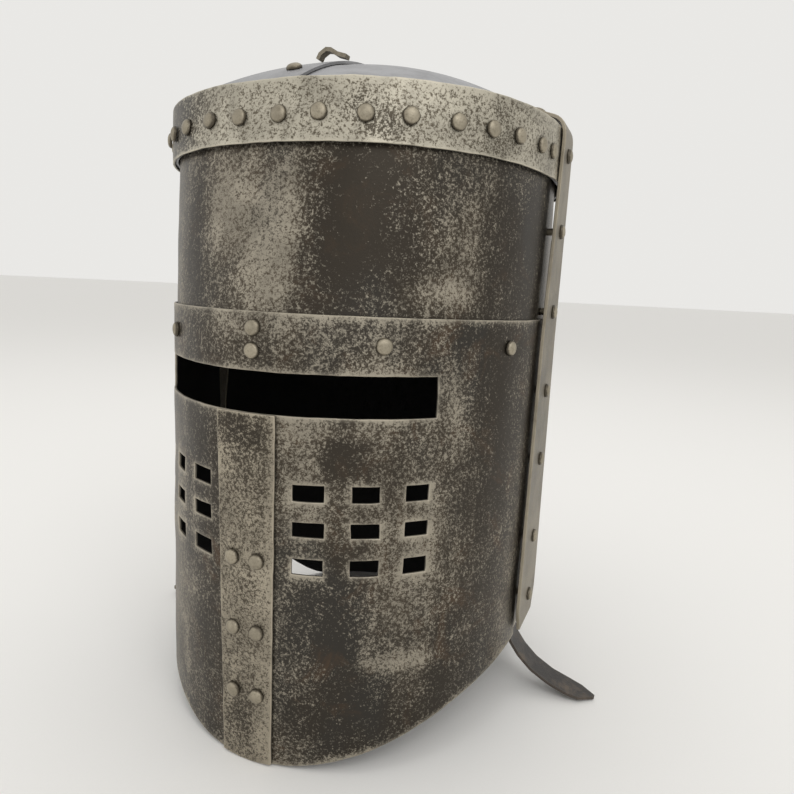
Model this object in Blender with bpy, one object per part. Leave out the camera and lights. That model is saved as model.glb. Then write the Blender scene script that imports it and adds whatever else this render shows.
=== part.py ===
"""Great helm: riveted steel plates, leather-and-cloth liner and a buckled chin strap.

Lengths are written in millimetres and turned into metres when a mesh is made.
The front of the helm faces -Y, its left-hand side (the wearer's left) is +X, up is +Z.
Heights start at the lowest point of the lower rim.
"""
import math

import bmesh
import bpy
from mathutils import Vector

MM = 0.001
GAP = 0.3                  # air between two pieces that touch
SHEET = 1.5                # plate thickness
LAYER = SHEET + GAP        # one plate plus the air beside it
CENTRE_Y = -4.9            # moves the middle of the whole helm to Y = 0

# height, half width, reach forward, reach back, corner power at the front
SECTIONS = (
    (0.0, 109.6, 121.9, 118.0, 2.09),
    (218.4, 111.0, 127.9, 138.0, 1.87),
    (332.8, 110.2, 111.0, 136.0, 2.2),
)
BACK_POWER = 2.2
STEP = 7.5                 # degrees between two columns of a plate

CROWN_EDGE = 332.0         # where the crown turns over into its flange
CROWN_RISE = 33.0
CROWN_POWER = 2.2
FLANGE_FOOT = 306.0
LAP = 10.0                 # the crown's left half reaches this far past the middle
BAND = (304.9, 332.8)      # top band, foot and head
BROW = 230.1               # upper edge of the face plate and of the neck plate
SKULL_FOOT = 206.0
SKULL_HEAD = 327.0
SLIT = (183.3, 203.0)
SLIT_HALF_ARC = 93.0
VENT_ROWS = ((142.9, 150.9), (125.2, 132.5), (106.2, 114.2))
VENT_COLUMNS = ((23.9, 39.1), (52.1, 65.7), (78.6, 90.7))
SIDE_CUT = 41.0            # how high the lower rim rises at the two sides
FRONT_SEAM = -4.0          # front edge of the back plates
BACK_SEAM = 20.0           # rear edge of the front plates
NASAL_HALF = 16.0

RIVET_HEAD = 4.0
RIVET_RISE = 2.4
RIVET_SHANK = 2.0
RIVET_HOLE = 2.4
NASAL_RIVETS = (110.9, 73.5, 38.9)
NASAL_RIVET_ARC = 6.9
BROW_PAIR = (222.5, 212.3)
BROW_SINGLES = ((64.9, 217.0), (140.5, 215.9))
SIDE_RIVETS = (319.8, 279.2, 234.5, 188.8, 147.7, 99.3, 61.4)
SIDE_LINE = 8.0            # the row of side rivets lies this far behind the widest point
STRIP_INSIDE = 111.6
STRIP_THICK = 2.0
BAND_RIVET_ARCS = (7.6, 26.5, 46.6, 66.2, 88.1, 106.7, 124.5, 144.8, 160.0,
                   -13.6, -32.7, -53.7, -73.5, -93.0, -112.5, -131.0, -149.5)
BAND_RIVET_PITCH = 20.0
BAND_RIVET_HEIGHT = 317.0

LINER = (208.0, 250.0)
LINER_OFFSET = -5.4
LINER_THICK = 2.0

STRAP_Y = 10.0
STRAP_HALF = 8.5
STRAP_THICK = 1.8
LOOP = 3.1                 # radius of a strap's turn round a bar, to mid-thickness
HANGER_BAR = (100.2, 45.3)
BUCKLE_BAR = (134.4, 4.9)


def clear_scene():
    for item in list(bpy.data.objects):
        bpy.data.objects.remove(item, do_unlink=True)


def mix(a, b, u):
    return a + (b - a) * u


def section(z):
    """Half width, front reach, back reach and front power at one height."""
    z = min(max(z, SECTIONS[0][0]), SECTIONS[-1][0])
    for low, high in zip(SECTIONS, SECTIONS[1:]):
        if z <= high[0]:
            u = (z - low[0]) / (high[0] - low[0])
            return tuple(mix(a, b, u) for a, b in zip(low[1:], high[1:]))
    return SECTIONS[-1][1:]


def outline(z, degrees):
    """Point of the helm's outline, 0 degrees at the front and 90 on the left."""
    half, front, back, power = section(z)
    angle = math.radians(degrees)
    s, c = math.sin(angle), math.cos(angle)
    reach = front
    if c < 0.0:
        power = BACK_POWER
        reach = back
    k = (abs(s) ** power + abs(c) ** power) ** (-1.0 / power)
    return half * s * k, -reach * c * k


def normal(z, degrees):
    ax, ay = outline(z, degrees - 0.5)
    bx, by = outline(z, degrees + 0.5)
    nx, ny = by - ay, ax - bx
    size = math.hypot(nx, ny)
    return nx / size, ny / size


def point(z, degrees, offset=0.0):
    x, y = outline(z, degrees)
    nx, ny = normal(z, degrees)
    return Vector((x + nx * offset, y + ny * offset, z))


def square_to_wall(z, degrees):
    """Outward direction square to the wall, which leans in above the brow."""
    nx, ny = normal(z, degrees)
    lean = (point(z + 2.0, degrees) - point(z - 2.0, degrees)) / 4.0
    return Vector((nx, ny, -(nx * lean.x + ny * lean.y))).normalized()


def angle_at_arc(z, arc):
    """Angle reached by walking an arc length round the outline from the front."""
    walked, degrees = 0.0, 0.0
    before = outline(z, 0.0)
    while walked < abs(arc):
        degrees += 0.25
        after = outline(z, degrees)
        walked += math.hypot(after[0] - before[0], after[1] - before[1])
        before = after
    return math.copysign(degrees, arc)


def angle_at_depth(z, y):
    """Angle on the left side where the outline crosses one Y."""
    low, high = 45.0, 150.0
    for _ in range(40):
        middle = (low + high) / 2.0
        if outline(z, middle)[1] < y:
            low = middle
        else:
            high = middle
    return (low + high) / 2.0


def rim(degrees):
    """Height of the lower rim: low at the front and back, cut up at the sides."""
    turn = abs((degrees + 180.0) % 360.0 - 180.0)
    if turn <= 90.0:
        return SIDE_CUT * math.sin(math.radians(turn)) ** 2
    u = min(max((turn - 104.0) / 38.0, 0.0), 1.0)
    return SIDE_CUT * (1.0 - u * u * (3.0 - 2.0 * u))


def add_object(name, verts, faces, material=None, origin=(0.0, 0.0, 0.0)):
    """Closed mesh in millimetres made into an object with outward normals."""
    base = Vector(origin)
    shift = Vector((0.0, CENTRE_Y, 0.0))
    mesh = bpy.data.meshes.new(name)
    mesh.from_pydata([(Vector(v) - base) * MM for v in verts], [], faces)
    work = bmesh.new()
    work.from_mesh(mesh)
    bmesh.ops.recalc_face_normals(work, faces=work.faces)
    for edge in work.edges:
        if len(edge.link_faces) == 2 and edge.calc_face_angle(0.0) > math.radians(38.0):
            edge.smooth = False
    for face in work.faces:
        face.smooth = True
    work.to_mesh(mesh)
    work.free()
    item = bpy.data.objects.new(name, mesh)
    item.location = (base + shift) * MM
    bpy.context.scene.collection.objects.link(item)
    if material is not None:
        mesh.materials.append(material)
    return item


def make_material(name, colour, metallic, roughness):
    material = bpy.data.materials.new(name)
    material.use_nodes = True
    shader = material.node_tree.nodes["Principled BSDF"]
    shader.inputs["Base Color"].default_value = (*colour, 1.0)
    shader.inputs["Metallic"].default_value = metallic
    shader.inputs["Roughness"].default_value = roughness
    return material


def steel(name):
    return make_material(name + "_steel", (0.30, 0.28, 0.26), 1.0, 0.42)


def leather(name):
    return make_material(name + "_leather", (0.07, 0.045, 0.03), 0.0, 0.6)


def columns(start, stop):
    """Angles of a plate's columns: its two edges and every full step between them."""
    inner = [k * STEP for k in range(-60, 61) if start + 1.5 < k * STEP < stop - 1.5]
    return [start] + inner + [stop]


def sheet_mesh(grid_out, grid_in, ring):
    """Closed mesh from an outer and an inner grid of points, [column][row]."""
    across, up = len(grid_out), len(grid_out[0])
    verts = [p for grid in (grid_out, grid_in) for column in grid for p in column]

    def at(side, i, j):
        return side * across * up + (i % across) * up + j

    faces = []
    last = across if ring else across - 1
    for i in range(last):
        for j in range(up - 1):
            for side in (0, 1):
                faces.append([at(side, i, j), at(side, i + 1, j),
                              at(side, i + 1, j + 1), at(side, i, j + 1)])
        for j in (0, up - 1):
            faces.append([at(0, i, j), at(0, i + 1, j), at(1, i + 1, j), at(1, i, j)])
    if not ring:
        for i in (0, across - 1):
            for j in range(up - 1):
                faces.append([at(0, i, j), at(0, i, j + 1), at(1, i, j + 1), at(1, i, j)])
    return verts, faces


def levels(low, high, rows):
    """Heights of a plate's rows: even, but with one on the line where the wall bends."""
    bend = SECTIONS[1][0]
    if not low < bend - 1.0 < high - 2.0:
        return [mix(low, high, k / rows) for k in range(rows + 1)]
    return [mix(low, bend, k / (rows - 1)) for k in range(rows)] + [high]


def plate(name, start, stop, foot, head, rows, outer, inner, material=None):
    """Curved plate between two angles; foot and head are heights or functions of angle.

    The start and stop angles may be functions of height, so an edge can be straight.
    """
    def number(value, at):
        return value(at) if callable(value) else value

    middle = 150.0
    ring = not callable(start) and not callable(stop) and stop - start >= 359.9
    if ring:
        angles = [k * STEP for k in range(48)]
    else:
        angles = columns(number(start, middle), number(stop, middle))
    grids = ([], [])
    for index, degrees in enumerate(angles):
        low, high = number(foot, degrees), number(head, degrees)
        for grid, offset in zip(grids, (outer, inner)):
            column = []
            for z in levels(low, high, rows):
                turn = degrees
                if index == 0:
                    turn = number(start, z)
                elif index == len(angles) - 1 and not ring:
                    turn = number(stop, z)
                column.append(point(z, turn, offset))
            grid.append(column)
    verts, faces = sheet_mesh(grids[0], grids[1], ring)
    return add_object(name, verts, faces, material)


def lathe(place, direction, profile, sides):
    """Vertices and faces of a turned solid; profile runs from pole to pole."""
    rotation = Vector((0.0, 0.0, 1.0)).rotation_difference(Vector(direction)).to_matrix()
    centre = Vector(place)
    verts, faces, rings = [], [], []
    for radius, height in profile:
        if radius == 0.0:
            rings.append([len(verts)])
            verts.append(centre + rotation @ Vector((0.0, 0.0, height)))
            continue
        rings.append(list(range(len(verts), len(verts) + sides)))
        for k in range(sides):
            turn = 2.0 * math.pi * (k + 0.5) / sides
            local = Vector((radius * math.cos(turn), radius * math.sin(turn), height))
            verts.append(centre + rotation @ local)
    for low, high in zip(rings, rings[1:]):
        for k in range(sides):
            n = (k + 1) % sides
            if len(low) == 1:
                faces.append([low[0], high[k], high[n]])
            elif len(high) == 1:
                faces.append([low[k], high[0], low[n]])
            else:
                faces.append([low[k], high[k], high[n], low[n]])
    return verts, faces


def join_parts(parts):
    verts, faces = [], []
    for more_verts, more_faces in parts:
        start = len(verts)
        verts += more_verts
        faces += [[start + i for i in face] for face in more_faces]
    return verts, faces


def box_mesh(low, high):
    verts = [(x, y, z) for x in (low[0], high[0]) for y in (low[1], high[1])
             for z in (low[2], high[2])]
    faces = [[0, 1, 3, 2], [4, 6, 7, 5], [0, 4, 5, 1], [2, 3, 7, 6], [0, 2, 6, 4], [1, 5, 7, 3]]
    return verts, faces


def combine(item, tool, operation="DIFFERENCE"):
    """Boolean with a helper that is kept only as a wire."""
    tool.hide_render = True
    tool.display_type = "WIRE"
    step = item.modifiers.new(tool.name, "BOOLEAN")
    step.operation = operation
    step.solver = "EXACT"
    step.object = tool


def helper(name, parts):
    verts, faces = join_parts(parts)
    return add_object(name, verts, faces)


def ribbon_mesh(path, thick, centres, halves):
    """Strip of even thickness following an (x, z) path, its width lying along Y."""
    sides = ([], [])
    for k, (x, z) in enumerate(path):
        before = path[max(k - 1, 0)]
        after = path[min(k + 1, len(path) - 1)]
        ends = [(x - before[0], z - before[1]), (after[0] - x, after[1] - z)]
        ends = [(dx / math.hypot(dx, dz), dz / math.hypot(dx, dz)) for dx, dz in ends
                if math.hypot(dx, dz) > 0.0]
        tx = sum(e[0] for e in ends) / len(ends)
        tz = sum(e[1] for e in ends) / len(ends)
        size = math.hypot(tx, tz)
        nx, nz = -tz / size ** 2, tx / size ** 2
        for side, sign in zip(sides, (0.5, -0.5)):
            px, pz = x + nx * thick * sign, z + nz * thick * sign
            side.append([(px, centres[k] + halves[k] * w, pz) for w in (-1.0, 1.0)])
    return sheet_mesh(sides[0], sides[1], False)


def ribbon(name, path, thick, centre, half, material, origin=(0.0, 0.0, 0.0)):
    """Ribbon whose centre and half width are numbers or one number per path point."""
    centres = centre if isinstance(centre, list) else [centre] * len(path)
    halves = half if isinstance(half, list) else [half] * len(path)
    verts, faces = ribbon_mesh(path, thick, centres, halves)
    return add_object(name, verts, faces, material, origin)


def arc_points(centre, radius, start, stop, count):
    """Points of an arc in the XZ plane, angles in degrees from +X towards +Z."""
    points = []
    for k in range(count + 1):
        turn = math.radians(mix(start, stop, k / count))
        points.append((centre[0] + radius * math.cos(turn), centre[1] + radius * math.sin(turn)))
    return points


def mirrored(path):
    return [(-x, z) for x, z in path]


# ---------------------------------------------------------------- rivets

HOLES = []


def rivet(name, place, direction, stack):
    """Round-headed rivet through a stack of plates, and its hole in every plate."""
    foot = -stack - 2.2 * GAP
    profile = ((0.0, RIVET_RISE + GAP), (2.9, 1.75 + GAP), (RIVET_HEAD, GAP), (RIVET_SHANK, GAP),
               (RIVET_SHANK, foot), (3.2, foot), (2.7, foot - 1.1), (0.0, foot - 1.1))
    verts, faces = lathe(place, direction, profile, 8)
    hole = ((0.0, 3.0), (RIVET_HOLE, 3.0), (RIVET_HOLE, foot - 0.6), (0.0, foot - 0.6))
    HOLES.append(lathe(place, direction, hole, 8))
    return add_object(name, verts, faces, steel(name))


def all_rivets():
    for number, z in enumerate(NASAL_RIVETS, 1):
        for side, sign in (("left", 1.0), ("right", -1.0)):
            turn = angle_at_arc(z, NASAL_RIVET_ARC * sign)
            rivet(f"nasal_rivet_{side}_{number}", point(z, turn, LAYER),
                  square_to_wall(z, turn), LAYER + SHEET)
    stack = -LINER_OFFSET + LINER_THICK
    for number, z in enumerate(BROW_PAIR, 1):
        turn = angle_at_arc(z, 4.0)
        rivet(f"brow_rivet_middle_{number}", point(z, turn), square_to_wall(z, turn), stack)
    for number, (arc, z) in enumerate(BROW_SINGLES, 1):
        for side, sign in (("left", 1.0), ("right", -1.0)):
            turn = angle_at_arc(z, arc * sign)
            rivet(f"brow_rivet_{side}_{number}", point(z, turn), square_to_wall(z, turn), stack)
    for number, turn in enumerate((132.0, 180.0, 228.0), 1):
        rivet(f"neck_rivet_{number}", point(214.0, turn, -LAYER), square_to_wall(214.0, turn),
              stack - LAYER)
    for number, z in enumerate(SIDE_RIVETS, 1):
        outside = strip_face(z)
        surface = outline(z, angle_at_depth(z, SIDE_LINE))[0]
        if z > BAND[0] or z > LINER[1]:
            inner = 2.0 * LAYER + SHEET
        elif z > BROW:
            inner = stack
        elif z > 70.0:
            inner = LAYER + SHEET
        else:
            inner = 2.0 * LAYER + 3.1
        for side, sign in (("left", 1.0), ("right", -1.0)):
            rivet(f"side_rivet_{side}_{number}", (outside * sign, SIDE_LINE, z),
                  (sign, 0.0, 0.0), outside - surface + inner)
    outer_end, inner_end = [Vector((x, SIDE_LINE, z)) for x, z in strip_end()]
    along = (inner_end - outer_end).normalized()
    up = Vector((0.0, 1.0, 0.0)).cross(along)
    up = up if up.z > 0.0 else -up
    place = (outer_end + inner_end) / 2.0 + up * STRIP_THICK / 2.0
    depth = (place.z - crown_height(place.x, SIDE_LINE)) * up.z
    for side, sign, drop in (("left", 1.0, LAYER), ("right", -1.0, 0.0)):
        rivet(f"crown_end_rivet_{side}", (place.x * sign, SIDE_LINE, place.z),
              (up.x * sign, 0.0, up.z), depth + SHEET + drop)
    for number, y in enumerate((-91.0, 5.0, 78.0), 1):
        fall = (crown_height(0.0, y - 2.0) - crown_height(0.0, y + 2.0)) / 4.0
        up = Vector((0.0, fall, 1.0)).normalized()
        rivet(f"crown_rivet_{number}", (0.0, y, crown_height(0.0, y)), up, LAYER + SHEET + 0.6)


# ---------------------------------------------------------------- crown

def crown_height(x, y):
    turn = math.degrees(math.atan2(x, -y)) if abs(x) + abs(y) > 0.0 else 0.0
    edge_x, edge_y = 0.0, 0.0
    low, high = -180.0, 180.0
    best = None
    for k in range(721):
        degrees = mix(low, high, k / 720.0)
        px, py = outline(CROWN_EDGE, degrees)
        miss = abs(math.degrees(math.atan2(px, -py)) - turn)
        if best is None or miss < best:
            best, edge_x, edge_y = miss, px, py
    r = math.hypot(x, y) / math.hypot(edge_x, edge_y)
    return CROWN_EDGE + CROWN_RISE * (1.0 - min(r, 1.0) ** CROWN_POWER)


def strip_face(z):
    """Outer face of a side strip: upright low down, leaning out a little to clear the band."""
    lean = 0.0
    if z > 218.0:
        lean = 1.3 * min((z - 218.0) / 107.0, 1.0)
    return STRIP_INSIDE + STRIP_THICK + lean


def strip_end():
    """Last straight run of a side strip, where it lies on the crown."""
    return [(102.5, crown_height(102.5, SIDE_LINE) + 3.2),
            (91.0, crown_height(91.0, SIDE_LINE) + 2.2)]


def crown_shell(name, drop, material):
    """Whole crown with its flange; drop lowers the dome but not the flange."""
    rings = (0.985, 0.93, 0.8, 0.58, 0.3)
    grids = ([], [])
    angles = [k * STEP for k in range(48)]
    for degrees in angles:
        for grid, side in zip(grids, (0.0, 1.0)):
            column = [point(z - side * 1.5 * (z > 320.0), degrees, -SHEET * side)
                      for z in (FLANGE_FOOT, CROWN_EDGE)]
            x, y = outline(CROWN_EDGE, degrees)
            for r in rings:
                z = CROWN_EDGE + CROWN_RISE * (1.0 - r ** CROWN_POWER)
                column.append(Vector((x * r, y * r, z - drop - SHEET * side)))
            grid.append(column)
    verts, faces = [], []
    across, up = len(angles), len(grids[0][0])
    for grid in grids:
        verts += [p for column in grid for p in column]
    top = CROWN_EDGE + CROWN_RISE - drop
    poles = (len(verts), len(verts) + 1)
    verts += [Vector((0.0, 0.0, top)), Vector((0.0, 0.0, top - SHEET))]
    for i in range(across):
        n = (i + 1) % across
        for side in (0, 1):
            base = side * across * up
            for j in range(up - 1):
                faces.append([base + i * up + j, base + n * up + j,
                              base + n * up + j + 1, base + i * up + j + 1])
            faces.append([base + i * up + up - 1, base + n * up + up - 1, poles[side]])
        second = across * up
        faces.append([i * up, n * up, second + n * up, second + i * up])
    return add_object(name, verts, faces, material)


def crown():
    """Two halves: the wearer's right one lies on top and reaches past the middle."""
    upper = crown_shell("crown_right", 0.0, steel("crown_right"))
    combine(upper, helper("crown_right_cut", [
        box_mesh((LAP, -200.0, 290.0), (200.0, 200.0, 400.0))]))
    lower = crown_shell("crown_left", LAYER, steel("crown_left"))
    combine(lower, helper("crown_left_cut", [
        box_mesh((-200.0, -200.0, 290.0), (-LAP, 200.0, 400.0))]))
    combine(lower, helper("crown_left_ends", [
        box_mesh((-LAP - 5.0, -200.0, 290.0), (LAP + GAP, -98.0, 400.0)),
        box_mesh((-LAP - 5.0, 118.0, 290.0), (LAP + GAP, 200.0, 400.0))]))
    return [upper, lower]


# ---------------------------------------------------------------- shell of plates

def front_edge(z):
    return angle_at_depth(z, FRONT_SEAM)


def back_edge(z):
    return angle_at_depth(z, BACK_SEAM)


def other_side(function):
    return lambda z: -function(z)


def round_back(function):
    return lambda z: 360.0 - function(z)


def skull_front_foot(degrees):
    """The upper front plate is cut away at its lower corners, clear of the neck plate."""
    return BROW + 0.6 if abs(degrees) > 80.0 else SKULL_FOOT


def block(z, start, stop, foot, head, deep=12.0, count=2):
    """Curved block that cuts an opening between two arc lengths."""
    first, last = angle_at_arc(z, start), angle_at_arc(z, stop)
    grids = ([], [])
    for k in range(count + 1):
        for grid, offset in zip(grids, (6.0, -deep)):
            grid.append([point(h, mix(first, last, k / count), offset) for h in (foot, head)])
    return sheet_mesh(grids[0], grids[1], False)


def openings():
    """The sight slit and three rows of breaths on each side of the nasal."""
    middle = sum(SLIT) / 2.0
    parts = [block(middle, -SLIT_HALF_ARC, SLIT_HALF_ARC, *SLIT, count=16)]
    for foot, head in VENT_ROWS:
        for start, stop in VENT_COLUMNS:
            parts.append(block((foot + head) / 2.0, start, stop, foot, head))
            parts.append(block((foot + head) / 2.0, -stop, -start, foot, head))
    return helper("opening_cut", parts)


def band_heads(name, start):
    """Row of rivet heads that stand on one half of the top band."""
    outer = LAYER
    profile = ((0.0, RIVET_RISE), (2.9, 1.75), (RIVET_HEAD, 0.0), (RIVET_HEAD, -0.6), (0.0, -0.6))
    if start < 0.0:
        turns = [angle_at_arc(BAND_RIVET_HEIGHT, arc) for arc in BAND_RIVET_ARCS]
    else:
        turns = []
        arc = 187.0
        while angle_at_arc(BAND_RIVET_HEIGHT, arc) < 340.0:
            turn = angle_at_arc(BAND_RIVET_HEIGHT, arc)
            if outline(BAND_RIVET_HEIGHT, turn)[1] > SIDE_LINE + 18.0:
                turns.append(turn)
            arc += BAND_RIVET_PITCH
    parts = []
    for turn in turns:
        parts.append(lathe(point(BAND_RIVET_HEIGHT, turn, outer),
                           square_to_wall(BAND_RIVET_HEIGHT, turn), profile, 8))
    return helper(name, parts)


def shell():
    front = {"start": other_side(back_edge), "stop": back_edge}
    back = {"start": front_edge, "stop": round_back(front_edge)}
    face = plate("face_plate", foot=rim, head=BROW, rows=3, outer=0.0, inner=-SHEET,
                 material=steel("face_plate"), **front)
    combine(face, openings())
    skull = plate("skull_front", foot=skull_front_foot, head=SKULL_HEAD, rows=2,
                  outer=-LAYER, inner=-LAYER - SHEET, material=steel("skull_front"), **front)
    neck = plate("neck_plate", foot=rim, head=BROW, rows=2, outer=-LAYER,
                 inner=-LAYER - SHEET, material=steel("neck_plate"), **back)
    rear = plate("skull_back", foot=SKULL_FOOT, head=SKULL_HEAD, rows=2, outer=-2.0 * LAYER,
                 inner=-2.0 * LAYER - SHEET, material=steel("skull_back"), **back)
    seam = angle_at_depth(318.0, SIDE_LINE)
    band_front = plate("top_band_front", start=-seam + 0.4, stop=seam - 0.4, foot=BAND[0],
                       head=BAND[1], rows=1, outer=LAYER, inner=GAP,
                       material=steel("top_band_front"))
    combine(band_front, band_heads("front_band_heads", -seam), "UNION")
    band_back = plate("top_band_back", start=seam + 0.4, stop=360.0 - seam - 0.4, foot=BAND[0],
                      head=BAND[1], rows=1, outer=LAYER, inner=GAP,
                      material=steel("top_band_back"))
    combine(band_back, band_heads("back_band_heads", seam), "UNION")
    half = angle_at_arc(100.0, NASAL_HALF)
    nasal = plate("nasal_strip", start=-half, stop=half, foot=lambda t: rim(t) + 0.4,
                  head=SLIT[0], rows=1, outer=LAYER, inner=GAP, material=steel("nasal_strip"))
    return [face, skull, neck, rear, band_front, band_back, nasal]


def side_strips():
    middle = STRIP_INSIDE + STRIP_THICK / 2.0
    top = middle + 1.3
    path = [(middle, 46.0), (middle, 60.0), (middle, 218.0), (top, 325.0),
            (top - 0.1, 332.0), (top - 1.6, 335.8), (top - 4.8, 338.2)]
    path += strip_end()
    centres = [5.5, 5.5, 6.2, 8.0, 8.0, 8.0, 8.0, 8.0, 8.0]
    halves = [16.0, 22.0, 18.0, 12.5, 12.5, 12.5, 12.5, 12.0, 11.0]
    return [ribbon("side_strip_left", path, STRIP_THICK, centres, halves,
                   steel("side_strip_left")),
            ribbon("side_strip_right", mirrored(path), STRIP_THICK, centres, halves,
                   steel("side_strip_right"))]


def crown_loop():
    """Small wire staple on the crown's seam for a lace or a crest."""
    y = -58.0
    base = crown_height(0.0, y) + GAP
    path = [(-6.0, base + 1.1), (-4.6, base + 3.6), (-1.2, base + 5.6), (1.6, base + 5.2),
            (5.4, base + 2.9), (10.5, base + 1.3)]
    return ribbon("crown_loop", path, 2.0, y, 2.2, steel("crown_loop"))


# ---------------------------------------------------------------- liner

def liner():
    band = plate("liner_band", 0.0, 360.0, LINER[0], LINER[1], 2, LINER_OFFSET,
                 LINER_OFFSET - LINER_THICK, leather("liner_band"))
    outer = LINER_OFFSET - GAP
    rows = ((1.0, LINER[1] + 0.6), (1.0, 257.0), (0.96, 270.0), (0.87, 302.0), (0.7, 324.0),
            (0.4, 337.0))
    verts, faces = [], []
    across = 24
    for side in (0.0, 1.0):
        for k in range(across):
            for r, z in rows:
                p = point(min(z, 260.0), k * 360.0 / across, outer - 3.0 * side)
                tall = z - (3.0 * side if z > 300.0 else 0.0)
                verts.append(Vector((p.x * r, p.y * r, tall)))
    up = len(rows)
    poles = (len(verts), len(verts) + 1)
    verts += [Vector((0.0, 0.0, 340.0)), Vector((0.0, 0.0, 337.0))]
    for k in range(across):
        n = (k + 1) % across
        for side in (0, 1):
            base = side * across * up
            for j in range(up - 1):
                faces.append([base + k * up + j, base + n * up + j,
                              base + n * up + j + 1, base + k * up + j + 1])
            faces.append([base + k * up + up - 1, base + n * up + up - 1, poles[side]])
        second = across * up
        faces.append([k * up, n * up, second + n * up, second + k * up])
    cloth = make_material("liner_cap_cloth", (0.42, 0.37, 0.29), 0.0, 0.9)
    return [band, add_object("liner_cap", verts, faces, cloth)]


# ---------------------------------------------------------------- chin strap

def strap_centres(path):
    """Middle of the strap's width at each point: it drifts back as it goes outward."""
    return [STRAP_Y + 3.0 * max(abs(x) - 108.0, 0.0) / 50.0 for x, _ in path]


def hanger(name, sign):
    """Riveted steel tab whose slotted foot holds the strap."""
    x, z = HANGER_BAR
    path = [(104.0, 73.0), (104.0, 57.2), (x, 53.6), (x, z - 1.3)]
    path = path if sign > 0.0 else mirrored(path)
    item = ribbon(name, path, 2.0, STRAP_Y, 11.8, steel(name))
    low, high = sorted((sign * (x - 6.0), sign * (x + 6.0)))
    half = STRAP_HALF + 0.8
    combine(item, helper(name + "_slot", [
        box_mesh((low, STRAP_Y - half, z + 1.3), (high, STRAP_Y + half, z + 7.2))]))
    return item


def strap_turn():
    """Inner end of a strap: a tail, then the turn round the hanger's foot."""
    x, z = HANGER_BAR
    tail = [(x - LOOP, z - 9.0), (x - LOOP, z - 4.0)]
    return tail + arc_points(HANGER_BAR, LOOP, 180.0, 0.0, 8)


def chin_straps():
    pivot = (HANGER_BAR[0], STRAP_Y, HANGER_BAR[1])
    sweep = [(103.8, 38.5), (106.2, 30.5), (112.0, 22.5), (120.0, 15.0), (131.0, 8.6),
             (143.0, 4.3)]
    path = strap_turn() + sweep + [(150.0, 2.6), (158.4, 1.6)]
    halves = [STRAP_HALF] * (len(path) - 2) + [STRAP_HALF - 0.8, 1.6]
    left = ribbon("chin_strap_left", path, STRAP_THICK, strap_centres(path), halves,
                  leather("chin_strap_left"), pivot)
    punches = []
    for x, z in ((131.0, 8.6), (139.0, 5.7), (147.0, 3.3)):
        centre = strap_centres([(x, z)])[0]
        hole = ((0.0, 8.0), (1.6, 8.0), (1.6, -8.0), (0.0, -8.0))
        punches.append(lathe((x, centre, z), (0.45, 0.0, 0.89), hole, 8))
    combine(left, helper("strap_holes", punches))

    bx, bz = BUCKLE_BAR
    path = strap_turn() + [(103.8, 38.5), (106.2, 30.5), (112.0, 22.5), (118.5, 16.0),
                           (125.0, 10.6), (bx - 4.5, bz + LOOP + 0.3)]
    path += arc_points(BUCKLE_BAR, LOOP, 90.0, -90.0, 8) + [(bx - 8.0, bz - LOOP + 0.1)]
    pivot = (-HANGER_BAR[0], STRAP_Y, HANGER_BAR[1])
    path = mirrored(path)
    right = ribbon("chin_strap_right", path, STRAP_THICK, STRAP_Y, STRAP_HALF,
                   leather("chin_strap_right"), pivot)
    combine(right, helper("buckle_slot", [
        box_mesh((-bx - 6.0, STRAP_Y - 2.6, -2.0), (-bx + 5.0, STRAP_Y + 2.6, 14.0))]))
    return [left, right]


def keeper():
    """Leather loop that holds the free end of the strap against the buckle strap."""
    start, stop = Vector((-118.5, STRAP_Y, 16.0)), Vector((-125.0, STRAP_Y, 10.6))
    centre = (start + stop) / 2.0
    ahead = (stop - start).normalized()
    across = Vector((0.0, 1.0, 0.0))
    above = ahead.cross(across)
    loops = ((STRAP_THICK / 2.0 + GAP + 1.4, STRAP_HALF + GAP + 1.4),
             (STRAP_THICK / 2.0 + GAP, STRAP_HALF + GAP))
    verts = []
    for high, wide in loops:
        for along in (-2.6, 2.6):
            for y, z in ((-wide, -high), (wide, -high), (wide, high), (-wide, high)):
                verts.append(centre + ahead * along + across * y + above * z)
    faces = []
    for k in range(4):
        n = (k + 1) % 4
        faces += [[k, n, 4 + n, 4 + k], [8 + k, 8 + n, 12 + n, 12 + k],
                  [k, n, 8 + n, 8 + k], [4 + k, 4 + n, 12 + n, 12 + k]]
    pivot = (-HANGER_BAR[0], STRAP_Y, HANGER_BAR[1])
    return add_object("strap_keeper", verts, faces, leather("strap_keeper"), pivot)


def buckle():
    bx, bz = BUCKLE_BAR
    pivot = (-bx, STRAP_Y, bz)
    half = 1.3
    wide = STRAP_HALF + 1.2
    outer = [(-bx + half, STRAP_Y - wide - 2.6), (-bx + half, STRAP_Y + wide + 2.6),
             (-158.4, STRAP_Y + wide + 1.6), (-158.4, STRAP_Y - wide - 1.6)]
    inner = [(-bx - half, STRAP_Y - wide), (-bx - half, STRAP_Y + wide),
             (-155.6, STRAP_Y + wide), (-155.6, STRAP_Y - wide)]
    verts = [(x, y, bz + h) for h in (-half, half) for ring in (outer, inner) for x, y in ring]
    faces = []
    for k in range(4):
        n = (k + 1) % 4
        faces += [[k, n, 4 + n, 4 + k], [8 + k, 8 + n, 12 + n, 12 + k],
                  [k, n, 8 + n, 8 + k], [4 + k, 4 + n, 12 + n, 12 + k]]
    frame = add_object("buckle_frame", verts, faces, steel("buckle_frame"), pivot)
    radius = 2.7
    path = arc_points(BUCKLE_BAR, radius, 250.0, 90.0, 8)
    path += [(bx + 8.0, bz + radius), (157.4, bz + half + GAP + 0.8)]
    prong = ribbon("buckle_prong", mirrored(path), 1.5, STRAP_Y, 1.4, steel("buckle_prong"),
                   pivot)
    return [frame, prong]


# ---------------------------------------------------------------- the whole helm

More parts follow.
